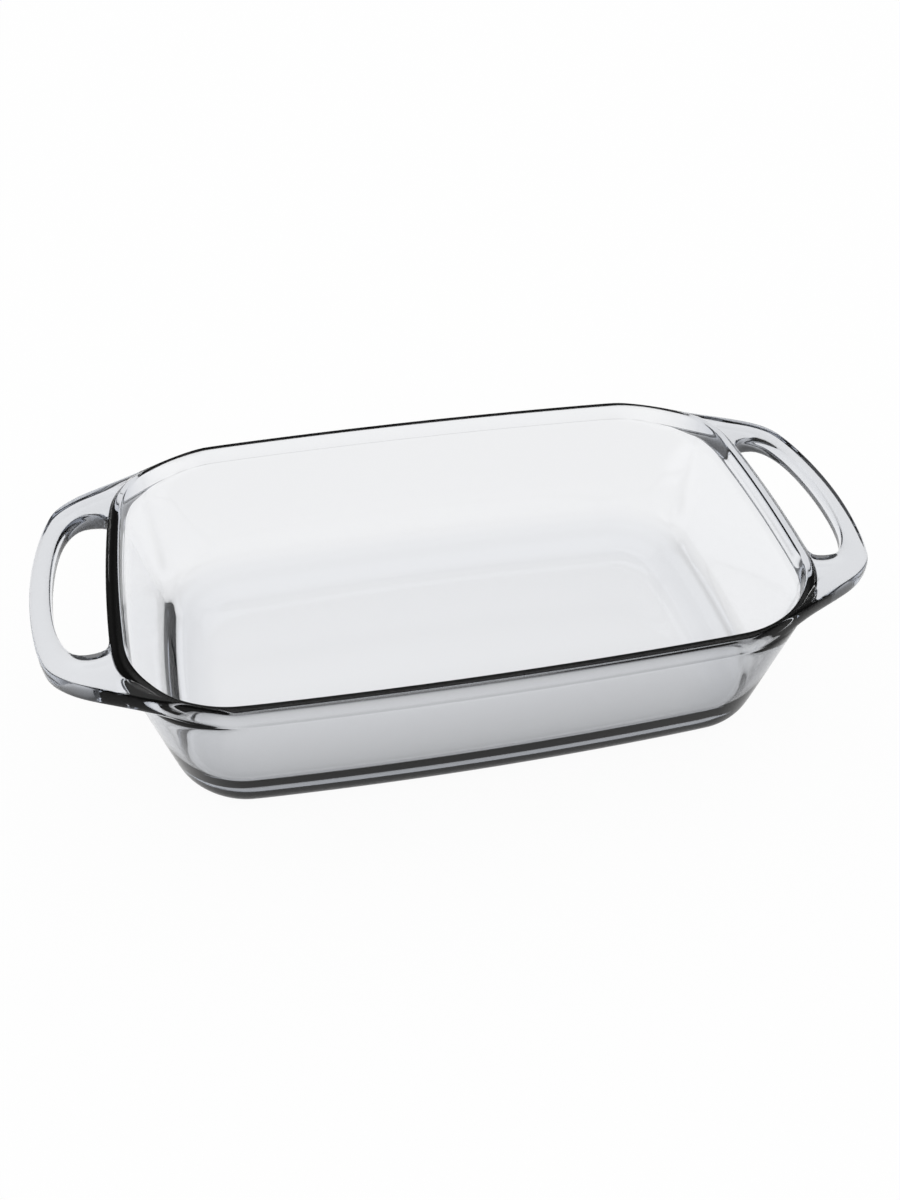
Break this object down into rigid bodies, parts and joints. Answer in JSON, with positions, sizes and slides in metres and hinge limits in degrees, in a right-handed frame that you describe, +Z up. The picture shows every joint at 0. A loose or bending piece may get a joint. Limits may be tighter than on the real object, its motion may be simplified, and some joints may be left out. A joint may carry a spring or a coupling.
{
  "type": "glass roasting dish",
  "caption": "Deep rectangular roasting dish of clear pressed glass with tapered walls, a flanged rim and a loop handle at each short end.",
  "frame": {"origin": "centre of the flat underside, on the surface that the dish stands on", "axes": "+X along the length towards one handle, +Y across the width, +Z up out of the basin"},
  "size_m": [0.286, 0.1458, 0.0626],
  "materials": {
    "clear_glass": "smooth fire-polished clear glass"
  },
  "bodies": {
    "root": {"glass_dish": "clear_glass"}
  },
  "joints": []
}
